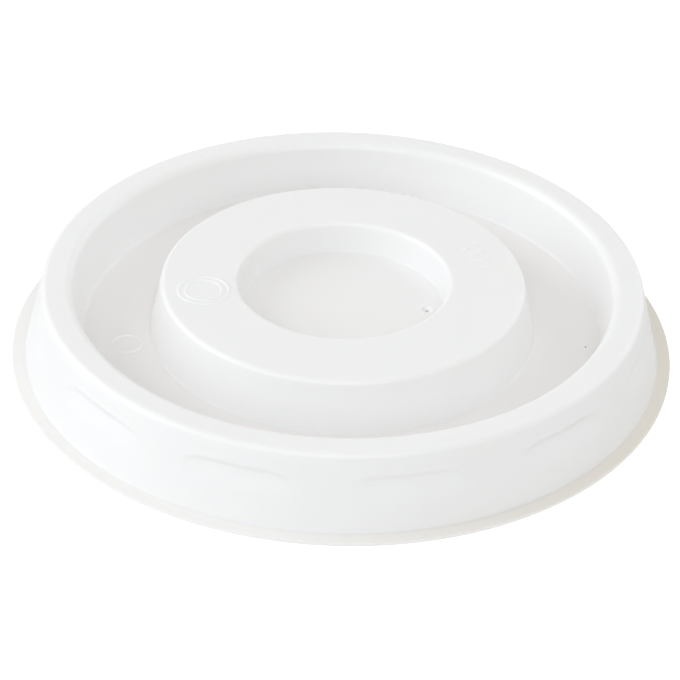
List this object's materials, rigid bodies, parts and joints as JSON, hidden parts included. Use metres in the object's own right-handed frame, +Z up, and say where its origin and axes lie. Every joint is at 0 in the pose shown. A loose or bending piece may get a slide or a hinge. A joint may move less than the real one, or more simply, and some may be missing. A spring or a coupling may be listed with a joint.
{
  "type": "coffee cup lid",
  "caption": "Round press-on lid for a takeaway paper cup: channelled rim, flared skirt with a flange, ring moat, raised centre with a vented recess.",
  "frame": {"origin": "centre of the flange's underside, in the plane that the lid rests on", "axes": "+Z up along the lid's axis, out of its top; +X through the steam vent in the recess floor"},
  "size_m": [0.1008, 0.1008, 0.0119],
  "materials": {
    "lid_plastic": "milky white, slightly translucent moulded plastic, soft satin gloss, brighter where the wall bends"
  },
  "bodies": {
    "root": {"lid": "lid_plastic"}
  },
  "joints": []
}
